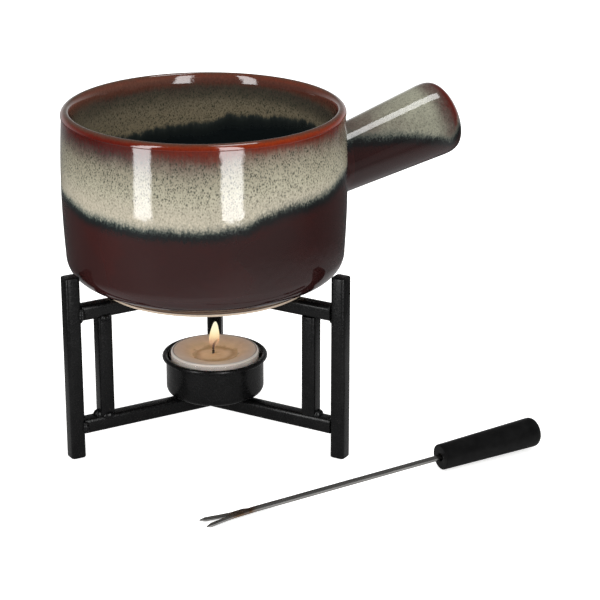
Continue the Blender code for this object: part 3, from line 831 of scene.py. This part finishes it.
# ---------------------------------------------------------------- pot
# Each table goes by degrees round the pot. The first two give the glaze line's height above the foot.
LINE_OUTSIDE = {
    -180: 0.0420, -157: 0.0404, -130: 0.0389, -108: 0.0377, -88: 0.0378, -74: 0.0394, -63: 0.0432,
    -52: 0.0451, -32: 0.0453, -18: 0.0476, 27: 0.0535, 62: 0.0470, 105: 0.0425, 145: 0.0440, 180: 0.0412,
}
LINE_INSIDE = {
    -180: 0.0500, -90: 0.0520, 0: 0.0560, 40: 0.0584, 62: 0.0576, 80: 0.0558, 94: 0.0522, 133: 0.0509,
    180: 0.0500,
}
RUST = {                        # how bright the rust along the lip is, from 0 to 1
    -180: 0.10, -130: 0.0, -97: 0.5, -72: 0.85, -60: 1.0, -35: 0.7, -20: 0.5, 60: 0.6, 120: 0.25, 180: 0.10,
}
MAUVE = {                       # how many millimetres further down the rust and mauve reach
    -180: 0.6, -150: 0.0, -108: 0.8, -87: 2.0, -72: 0.4, -50: 0.0, 20: 1.5, 70: 0.0, 130: 1.6, 180: 0.6,
}


def along(table, degrees):
    """The value at an angle round the pot, eased between the table's own angles."""
    angles = list(table)
    degrees = (degrees + 180.0) % 360.0 - 180.0
    index = max(i for i, angle in enumerate(angles) if angle <= degrees)
    if index == len(angles) - 1:
        return table[angles[-1]]
    low, high = angles[index], angles[index + 1]
    return mix(table[low], table[high], smooth_step(low, high, degrees))


lip_centre = (POT_RIM_RADIUS - POT_LIP, pot_height - POT_LIP)
corner_centre = (POT_BODY_RADIUS - POT_CORNER_RADIUS, FOOT_HEIGHT + POT_CORNER_HEIGHT)


def wall_swell(z):
    """-1 at the top of the swelling wall, 1 at its bottom."""
    return 2.0 * (lip_centre[1] - z) / (lip_centre[1] - corner_centre[1]) - 1.0


def wall_point(degrees, z):
    turn = math.radians(degrees)
    radius = POT_BODY_RADIUS + POT_BULGE * (1.0 - wall_swell(z) ** 2)
    return Vector((radius * math.cos(turn), radius * math.sin(turn), z))


def wall_normal(degrees, z):
    turn = math.radians(degrees)
    slope = 4.0 * POT_BULGE * wall_swell(z) / (lip_centre[1] - corner_centre[1])
    return Vector((math.cos(turn), math.sin(turn), -slope)).normalized()


def bearing(point):
    return math.degrees(math.atan2(point.y, point.x))


def glaze_values(points, from_lip=None, line_table=LINE_OUTSIDE, inside=0.0):
    """What the glaze needs to know at points of the pot, which are in the pot's own frame."""
    round_the_lip = POT_LIP * (math.pi / 2 - 1)
    edge = []
    for point in points:
        distance = MM * (pot_height - point.z + round_the_lip if from_lip is None else from_lip)
        edge.append(distance - along(MAUVE, bearing(point)) * smooth_step(3.0, 8.0, distance))
    return {
        "edge_mm": edge,
        "line_mm": [MM * (p.z - along(line_table, bearing(p))) for p in points],
        "rust": [along(RUST, bearing(p)) for p in points],
        "foot_mm": [MM * p.z for p in points],
        "inside": inside,
        "specks": 1.0,
    }


class Handle:
    """The stick handle's axis, its radius along it, and points on its skin."""

    rise, angle = math.radians(HANDLE_RISE), math.radians(HANDLE_ANGLE)
    level = Vector((math.cos(angle), math.sin(angle), 0.0))
    axis = level * math.cos(rise) + Vector((0.0, 0.0, math.sin(rise)))
    up = Vector((0.0, 0.0, math.cos(rise))) - level * math.sin(rise)
    side = up.cross(axis)
    start = Vector((0.0, 0.0, HANDLE_AXIS_HEIGHT))
    dome_start = HANDLE_END - HANDLE_DOME

    @classmethod
    def radius(cls, s):
        share = (s - POT_BODY_RADIUS) / (cls.dome_start - POT_BODY_RADIUS)
        return mix(HANDLE_ROOT_RADIUS, HANDLE_END_RADIUS, share)

    @classmethod
    def point(cls, s, angle, radius=None):
        reach = cls.radius(s) if radius is None else radius
        return cls.start + cls.axis * s + (cls.side * math.cos(angle) + cls.up * math.sin(angle)) * reach

    @classmethod
    def meets_wall(cls, angle):
        """How far along the handle this line of its skin leaves the wall."""
        low, high = 0.040, 0.080
        for _ in range(40):
            s = (low + high) / 2
            point = cls.point(s, angle)
            if math.hypot(point.x, point.y) < math.hypot(*wall_point(0.0, point.z).xy):
                low = s
            else:
                high = s
        return high

    @staticmethod
    def values(points, s, from_edge):
        """The glaze's numbers round the handle. Its line sags on the way out, and rises over the end."""
        drop = 0.0047 * max(0.0, (s - 0.067) / 0.040) ** 3 - 0.014 * smooth_step(0.1095, 0.1190, s)
        line = [(p.z - (HANDLE_GLAZE_LINE - drop)) * MM for p in points]
        palest = mix(8.0, 14.5, smooth_step(0.060, 0.104, s))
        edge = min(palest, 2.4 + from_edge * MM * 1.15)
        return {"edge_mm": edge, "line_mm": line, "rust": 0.2, "foot_mm": 20.0, "specks": 0.45}


def make_pot(glaze):
    """Pot and handle as one skin, with the handle grown out of a window in the wall."""
    shape = Shape("edge_mm", "line_mm", "rust", "inside", "foot_mm", "specks")
    count = 180
    step = 360.0 / count
    turn_to = [HANDLE_ANGLE + step * i for i in range(count)]

    def level_ring(radius, z, **more):
        turns = [math.radians(t) for t in turn_to]
        points = [Vector((radius * math.cos(turn), radius * math.sin(turn), z)) for turn in turns]
        return shape.ring(points, **glaze_values(points, **more))

    # Inside: the floor, its rounded corner, the wall, and the broad rounding up to the top of the lip.
    inner = lip_centre[0] - POT_LIP
    turn_in = POT_INNER_CORNER
    corner = arc((inner - turn_in, POT_FLOOR + turn_in), (turn_in, turn_in), -90.0, 0.0, 12)
    outline = [(0.012, POT_FLOOR), (0.028, POT_FLOOR)] + corner
    rounding_start = pot_height - INNER_LIP_HEIGHT
    wall_steps = 26
    for i in range(1, wall_steps):
        outline.append((inner, mix(corner[-1][1], rounding_start, i / wall_steps)))
    outline += arc((lip_centre[0], rounding_start), (POT_LIP, INNER_LIP_HEIGHT), 180.0, 90.0, 16)
    distances = [0.0]
    for first, second in zip(reversed(outline[:-1]), reversed(outline)):
        distances.append(distances[-1] + math.dist(first, second))
    distances.reverse()
    rings = []
    for (r, z), distance in zip(outline, distances):
        indoors = smooth_step(0.0005, 0.0030, distance)
        rings.append(level_ring(r, z, from_lip=distance, line_table=LINE_INSIDE, inside=indoors))
    shape.pole(rings[0], (0.0, 0.0, POT_FLOOR), edge_mm=60.0, line_mm=-40.0, inside=1.0, foot_mm=20.0)

    # The outer side of the lip.
    lip_steps = 8
    for i in range(1, lip_steps + 1):
        angle = math.pi / 2 * (1 - i / lip_steps)
        r, z = lip_centre[0] + POT_LIP * math.cos(angle), lip_centre[1] + POT_LIP * math.sin(angle)
        rings.append(level_ring(r, z, from_lip=(math.pi / 2 - angle) * POT_LIP))
    for first, second in zip(rings, rings[1:]):
        shape.join(first, second)

    # The outer wall, left open round the handle.
    rows = 30
    window_rows, window_columns = (4, 26), 12
    heights = [mix(lip_centre[1], corner_centre[1], j / rows) for j in range(rows + 1)]
    wall = []
    for z in heights:
        points = [wall_point(t, z) for t in turn_to]
        ring = shape.ring(points, **glaze_values(points))
        shape.normals.update({index: wall_normal(t, z) for index, t in zip(ring, turn_to)})
        wall.append(ring)
    shape.join(rings[-1], wall[0])
    opened = {i % count for i in range(-window_columns, window_columns)}
    for j in range(rows):
        shape.join(wall[j], wall[j + 1], opened if window_rows[0] <= j < window_rows[1] else ())

    # The rounded bottom corner, the foot ring, and the recess inside it.
    rings = [wall[-1]]
    corner_radii = (POT_CORNER_RADIUS, POT_CORNER_HEIGHT)
    for r, z in arc(corner_centre, corner_radii, 0.0, -90.0, 18, POT_CORNER_POWER)[1:]:
        rings.append(level_ring(r, z))
    round_off = FOOT_ROUNDING
    foot = [(FOOT_OUTER_RADIUS, z) for z in (0.0028, 0.0016)]
    foot += arc((FOOT_OUTER_RADIUS - round_off, round_off), (round_off, round_off), 0.0, -90.0, 4)
    foot += arc((FOOT_INNER_RADIUS + round_off, round_off), (round_off, round_off), -90.0, -180.0, 4)
    chamfer = 0.001
    foot += [(FOOT_INNER_RADIUS, FOOT_HEIGHT - chamfer), (FOOT_INNER_RADIUS - chamfer, FOOT_HEIGHT)]
    foot += [(0.02, FOOT_HEIGHT)]
    for r, z in foot:
        rings.append(level_ring(r, z))
    for first, second in zip(rings, rings[1:]):
        shape.join(first, second)
    shape.pole(rings[-1], (0.0, 0.0, FOOT_HEIGHT), edge_mm=90.0, line_mm=-35.0, foot_mm=MM * FOOT_HEIGHT)

    # From the window's frame to the handle's root, over the fillet, and out along the handle.
    top, bottom = window_rows
    columns = [i % count for i in range(-window_columns, window_columns + 1)]
    frame_ring = [wall[bottom][c] for c in columns]
    frame_ring += [wall[j][columns[-1]] for j in range(bottom - 1, top, -1)]
    frame_ring += [wall[top][c] for c in reversed(columns)]
    frame_ring += [wall[j][columns[0]] for j in range(top + 1, bottom)]
    root_height = HANDLE_AXIS_HEIGHT + POT_WIDEST * math.tan(Handle.rise)

    def flat_place(point):
        """(along the wall, up the wall) from the handle's root, as if the wall were unrolled."""
        degrees = math.degrees(math.atan2(point.y, point.x)) - HANDLE_ANGLE
        return Vector((math.radians(degrees) * POT_WIDEST, point.z - root_height))

    def wall_at(place):
        degrees = HANDLE_ANGLE + math.degrees(place.x / POT_WIDEST)
        z = root_height + place.y
        return wall_point(degrees, z), wall_normal(degrees, z)

    frame_places = [flat_place(shape.points[index]) for index in frame_ring]
    angles = [math.atan2(place.y, place.x) for place in frame_places]
    leaves = [Handle.meets_wall(angle) for angle in angles]
    corners = [Handle.point(s, angle) for s, angle in zip(leaves, angles)]
    wall_ends = []
    for point in corners:
        place = flat_place(point)
        wall_ends.append(place * (1.0 + HANDLE_FILLET / place.length))
    previous = frame_ring
    patch_rings = 5
    for k in range(1, patch_rings + 1):
        found = [wall_at(a.lerp(b, k / patch_rings)) for a, b in zip(frame_places, wall_ends)]
        points = [point for point, _ in found]
        ring = shape.ring(points, **glaze_values(points))
        if k < patch_rings:
            shape.normals.update({index: normal for index, (_, normal) in zip(ring, found)})
        shape.join(previous, ring)
        previous = ring
    wall_edge = points
    handle_edge = [Handle.point(s + HANDLE_FILLET, angle) for s, angle in zip(leaves, angles)]
    fillet_rings = 8
    for k in range(1, fillet_rings + 1):
        t = k / fillet_rings
        points = [
            a.lerp(b, t).lerp(b.lerp(c, t), t) for a, b, c in zip(wall_edge, corners, handle_edge)
        ]
        values = glaze_values(points)
        values["edge_mm"] = [mix(edge, 8.0, t) for edge in values["edge_mm"]]
        ring = shape.ring(points, **values)
        shape.join(previous, ring)
        previous = ring
    grip_rings = 26
    for k in range(1, grip_rings + 1):
        t = k / grip_rings
        reaches = [mix(s + HANDLE_FILLET, Handle.dome_start, t) for s in leaves]
        points = [Handle.point(s, angle) for s, angle in zip(reaches, angles)]
        mean = sum(reaches) / len(reaches)
        ring = shape.ring(points, **Handle.values(points, mean, HANDLE_SHOULDER - mean))
        shape.join(previous, ring)
        previous = ring
    dome_rings = 18
    vent_edge = HANDLE_VENT_RADIUS + HANDLE_VENT_ROUNDING
    last_turn = math.degrees(math.acos((vent_edge / HANDLE_END_RADIUS) ** (HANDLE_DOME_POWER / 2)))
    dome_radii = (HANDLE_END_RADIUS, HANDLE_DOME)
    dome = arc((0.0, Handle.dome_start), dome_radii, 0.0, last_turn, dome_rings, HANDLE_DOME_POWER)
    tip = dome[-1][1]
    round_in = HANDLE_VENT_ROUNDING
    vent = arc((vent_edge, tip - round_in), (round_in, round_in), 90.0, 180.0, 4)[1:]
    vent += [(HANDLE_VENT_RADIUS, tip - 0.003), (HANDLE_VENT_RADIUS, tip - HANDLE_WALL)]
    rust_middle = HANDLE_SHOULDER - Handle.dome_start + 0.0012
    travelled = 0.0
    last = (HANDLE_END_RADIUS, Handle.dome_start)
    for r, s in dome[1:] + vent:
        travelled += math.dist(last, (r, s))
        last = (r, s)
        points = [Handle.point(s, angle, r) for angle in angles]
        ring = shape.ring(points, **Handle.values(points, s, abs(travelled - rust_middle)))
        shape.join(previous, ring)
        previous = ring
    shape.pole(previous, Handle.start + Handle.axis * last[1], edge_mm=20.0, line_mm=-20.0, foot_mm=20.0)
    drop_unused(shape)
    add_piece(
        "fondue_pot_glazed", shape, glaze, "pot", ["fondue_pot"], at=pot_base,
        smooth_angle=60.0,
    )


def drop_unused(shape):
    """Takes out the points that no face uses, as inside the wall's open window."""
    used = sorted({index for face in shape.faces for index in face})
    renamed = {old: new for new, old in enumerate(used)}
    shape.points = [shape.points[i] for i in used]
    shape.faces = [tuple(renamed[i] for i in face) for face in shape.faces]
    shape.normals = {renamed[i]: normal for i, normal in shape.normals.items() if i in renamed}
    for name, numbers in shape.values.items():
        shape.values[name] = [numbers[i] for i in used]


# ---------------------------------------------------------------- fork
def make_fork(steel, plastic):
    """Shaft and near tine in one, the far tine welded on, and the handle, all along +X of the fork."""
    slope = math.asin((FORK_HANDLE_FRONT_RADIUS - TINE_RADIUS) / FORK_SHAFT_LENGTH)
    origin = Vector((stand_axis.x + FORK_TIP.x, stand_axis.y + FORK_TIP.y, FORK_TIP_HEIGHT))
    heading = Matrix.Rotation(math.radians(FORK_ANGLE), 4, "Z")
    lie = Matrix.Translation(origin) @ heading @ Matrix.Rotation(-slope, 4, "Y")
    bend_start = TINE_SPLIT + WELD_LENGTH
    thickening = TINE_SPLIT / 2

    shaft = Shape("along_mm")
    path, radii, marks = [], [], []
    steps = 60
    for i in range(steps + 1):
        s = bend_start * i / steps
        path.append(Vector((s, -TINE_SPREAD * (1.0 - s / bend_start) ** TINE_CURVE, 0.0)))
        share = smooth_step(thickening, bend_start, s)
        radii.append(mix(TINE_RADIUS, FORK_SHAFT_RADIUS, share) * min(1.0, TINE_BLUNTNESS + s / TINE_POINT))
        marks.append(s * MM)
    shaft_end = FORK_SHAFT_LENGTH + 0.030
    run = 24
    for i in range(1, run + 1):
        s = mix(bend_start, shaft_end, i / run)
        path.append(Vector((s, 0.0, 0.0)))
        radii.append(FORK_SHAFT_RADIUS)
        marks.append(s * MM)
    shaft.sweep(path, radii, 28, along_mm=marks)
    add_piece(
        "fork_shaft_drawn", shaft, steel, "fork", ["fork_shaft"], at=lie, smooth_angle=60.0
    )

    tine = Shape("along_mm")
    path, radii, marks = [], [], []
    steps = 60
    for i in range(steps + 1):
        s = (TINE_SPLIT + WELD_LENGTH / 2) * i / steps
        spread = TINE_SPREAD * (1.0 - s / bend_start) ** TINE_CURVE
        root = 0.35 + max(0.0, TINE_SPLIT + WELD_LENGTH / 2 - s) / 0.0045
        taper = min(1.0, TINE_BLUNTNESS + s / TINE_POINT, root)
        path.append(Vector((s, max(spread, 0.0010 + 0.5 * TINE_RADIUS - 0.4 * spread), 0.0)))
        radii.append(TINE_RADIUS * taper)
        marks.append(s * MM)
    tine.sweep(path, radii, 24, along_mm=marks)
    # The lump of weld that fills the fork between the tines.
    path, radii, marks = [], [], []
    steps = 16
    blob_end = TINE_SPLIT - 0.0005
    for i in range(steps + 1):
        t = i / steps
        s = mix(blob_end - WELD_BLOB_LENGTH, blob_end, t)
        lumpy = 1.0 + 0.12 * noise.noise(Vector((t * 9.0, 2.0, 1.0)))
        path.append(Vector((s, mix(0.0004, 0.0009, t), 0.0)))
        radii.append(max(0.0001, WELD_BLOB_RADIUS * math.sin(math.pi * t) ** 0.5 * lumpy))
        marks.append(s * MM)
    tine.sweep(path, radii, 20, along_mm=marks)
    add_piece(
        "fork_far_tine_welded", tine, steel, "fork", ["fork_far_tine"], at=lie,
        smooth_angle=60.0,
    )

    grip = Shape()
    rounding = FORK_HANDLE_REAR_ROUNDING
    front, rear = FORK_HANDLE_FRONT_RADIUS, FORK_HANDLE_REAR_RADIUS
    edge = 0.0004
    outline = [(0.0, FORK_BORE_SHOWN), (FORK_BORE_RADIUS, FORK_BORE_SHOWN), (FORK_BORE_RADIUS, edge)]
    outline += arc((FORK_BORE_RADIUS + edge, edge), (edge, edge), 180.0, 270.0, 4)[1:]
    outline += arc((front - edge, edge), (edge, edge), -90.0, 0.0, 4)
    steps = 12
    for i in range(1, steps):
        outline.append((mix(front, rear, i / steps), mix(edge, FORK_HANDLE_LENGTH - rounding, i / steps)))
    outline += arc((rear - rounding, FORK_HANDLE_LENGTH - rounding), (rounding, rounding), 0.0, 90.0, 10)
    outline += [(0.0, FORK_HANDLE_LENGTH)]
    grip.lathe(outline, 72)
    stand_up = Matrix.Translation((FORK_SHAFT_LENGTH, 0, 0)) @ Matrix.Rotation(math.radians(90.0), 4, "Y")
    add_piece(
        "fork_handle_moulded", grip, plastic, "fork", ["fork_handle"],
        at=lie @ stand_up,
    )


# ---------------------------------------------------------------- stage, light and camera
def make_floor():
    """A pale floor. It is a little less bright in reflections in front than behind, as a lit table is."""
    mesh = bpy.data.meshes.new("floor")
    half = 6.0
    corners = [(-half, -half, 0), (half, -half, 0), (half, half, 0), (-half, half, 0)]
    mesh.from_pydata(corners, [], [(0, 1, 2, 3)])
    floor = bpy.data.objects.new("floor", mesh)
    bpy.context.scene.collection.objects.link(floor)
    s = Surface("pale_floor", Roughness=0.8, Specular_IOR_Level=0.1)
    paths = s.add("ShaderNodeLightPath")
    place = s.place((1.0, 1.0, 0.0))
    split = s.add("ShaderNodeSeparateXYZ")
    s.feed(split.inputs[0], place)
    distance = s.add("ShaderNodeVectorMath", operation="LENGTH")
    s.feed(distance.inputs[0], place)
    # Painted light seen only in reflections: a bright pool near the middle, dimmer in front, brighter behind.
    near = s.span(distance.outputs["Value"], 0.12, 0.25, 0.46, 0.0)
    in_front = s.span(split.outputs["Y"], -0.20, 0.05, 0.28, 0.08)
    behind = s.span(split.outputs["Y"], 0.30, 0.75, 0.0, 0.70)
    reflected = s.calc("ADD", s.calc("ADD", near, in_front), behind)
    mirrored = s.blend(reflected, (0.0, 0.0, 0.0), (0.95, 0.95, 0.95))
    s.set("Base Color", s.blend(paths.outputs["Is Glossy Ray"], (0.92, 0.92, 0.915), mirrored))
    s.set("Emission Color", (1.0, 1.0, 0.995))
    s.set("Emission Strength", s.calc("MULTIPLY", paths.outputs["Is Camera Ray"], 0.70))
    mesh.materials.append(s.material)


def make_world():
    """White to the eye, even as a light, and in reflections dim but for a white backdrop low behind."""
    world = bpy.data.worlds.new("studio")
    world.use_nodes = True
    bpy.context.scene.world = world
    tree = world.node_tree

    def add(kind, *numbers):
        node = tree.nodes.new(kind)
        for socket, number in zip(node.inputs, numbers):
            if isinstance(number, bpy.types.NodeSocket):
                tree.links.new(number, socket)
            else:
                socket.default_value = number
        return node

    direction = add("ShaderNodeTexCoord").outputs["Generated"]
    split = add("ShaderNodeSeparateXYZ", direction)
    behind = add("ShaderNodeMapRange", split.outputs["Y"], 0.1, 0.8, 0.0, 0.75)
    low = add("ShaderNodeMapRange", split.outputs["Z"], 0.35, 0.05, 0.0, 1.0)
    backdrop = add("ShaderNodeMath", behind.outputs[0], low.outputs[0])
    backdrop.operation = "MULTIPLY"
    reflected = add("ShaderNodeMath", backdrop.outputs[0], 0.15)
    paths = add("ShaderNodeLightPath")
    is_light, is_seen = paths.outputs["Is Diffuse Ray"], paths.outputs["Is Camera Ray"]
    as_light = add("ShaderNodeMapRange", is_light, 0.0, 1.0, reflected.outputs[0], 0.90)
    strength = add("ShaderNodeMapRange", is_seen, 0.0, 1.0, as_light.outputs[0], 1.05)
    tree.links.new(strength.outputs[0], tree.nodes["Background"].inputs["Strength"])
    tree.nodes["Background"].inputs["Color"].default_value = (1.0, 1.0, 1.0, 1.0)


def area_light(name, place, look_at, width, height, radiance, glossy_only=False):
    """A flat softbox of this radiance."""
    data = bpy.data.lights.new(name, "AREA")
    data.shape = "RECTANGLE"
    data.size, data.size_y = width, height
    data.energy = radiance * math.pi * width * height
    made = bpy.data.objects.new(name, data)
    made.location = place
    made.rotation_euler = (Vector(look_at) - Vector(place)).to_track_quat("-Z", "Y").to_euler()
    made.visible_camera = False
    made.visible_diffuse = not glossy_only
    bpy.context.scene.collection.objects.link(made)
    return made


def keep_light_off(light, objects):
    """Takes the light off these objects."""
    unlit = bpy.data.collections.new("not_lit_by_" + light.name)
    for one in objects:
        unlit.objects.link(one)
    light.light_linking.receiver_collection = unlit
    for entry in unlit.collection_objects:
        entry.light_linking.link_state = "EXCLUDE"


def make_lights():
    """Two tall strips in front, a softbox overhead, a broad front fill and the candle itself."""
    middle_of_pot = Vector((pot_base.x, pot_base.y, 0.0))
    strip_height, strip_bottom, strip_distance = 0.50, 0.031, 0.300
    fork_pieces = [one for one in bpy.data.objects if one.name.startswith("fork_")]
    for name, heading, width in (("strip_left", -42.5, 0.071), ("strip_right", 22.2, 0.084)):
        turn = math.radians(heading)
        place = middle_of_pot + Vector((math.sin(turn), -math.cos(turn), 0.0)) * strip_distance
        place.z = strip_height / 2 + strip_bottom
        target = Vector((middle_of_pot.x, middle_of_pot.y, place.z))
        strip = area_light(name, place, target, width, strip_height, 11.5, glossy_only=True)
        keep_light_off(strip, fork_pieces)
    handle_middle = pot_base + Handle.start + Handle.axis * 0.085
    over = handle_middle + Vector((0.131, 0.040, 0.990)) * 0.9
    top = area_light("softbox_top", over, handle_middle, 0.30, 0.27, 9.0)
    top.rotation_euler = (0.0, 0.0, math.radians(HANDLE_ANGLE - 90.0))
    keep_light_off(top, fork_pieces)
    fill = area_light("fill_front", (-0.5, -1.6, 1.1), (0.0, 0.0, 0.08), 1.6, 1.2, 1.4)
    fill.visible_glossy = False
    candle = bpy.data.lights.new("candle_glow", "POINT")
    candle.energy = 0.0022
    candle.color = (1.0, 0.62, 0.30)
    candle.shadow_soft_size = 0.003
    made = bpy.data.objects.new("candle_glow", candle)
    made.location = tealight_base + Vector((0.0, 0.0, 0.024))
    bpy.context.scene.collection.objects.link(made)


def make_camera():
    """A long lens, looking down on the set at the photograph's angle."""
    data = bpy.data.cameras.new("camera")
    data.lens = 129.63
    data.sensor_width = 36.0
    data.clip_start, data.clip_end = 0.05, 50.0
    made = bpy.data.objects.new("camera", data)
    made.location = stand_axis + Vector((0.03784, -0.84533, 0.36833))
    looking_down = math.radians(20.22)
    made.rotation_euler = (math.pi / 2 - looking_down, 0.0, 0.0)
    bpy.context.scene.collection.objects.link(made)
    bpy.context.scene.camera = made


# ---------------------------------------------------------------- everything together
coating = coating_surface()
for arm_side, arm_angle in ARM_ANGLES.items():
    make_arm(arm_side, arm_angle, coating)
make_holder(coating)
make_tealight(wax_surface(), cup_surface(), wick_surface(), flame_surface())
frame["nodes"]["wick_sustainer"].data.materials.clear()
frame["nodes"]["wick_sustainer"].data.materials.append(tin_surface())
make_pot(glaze_surface())
make_fork(steel_surface(), plastic_surface())
make_floor()
make_world()
make_lights()
make_camera()
bpy.context.scene.view_settings.view_transform = "Standard"
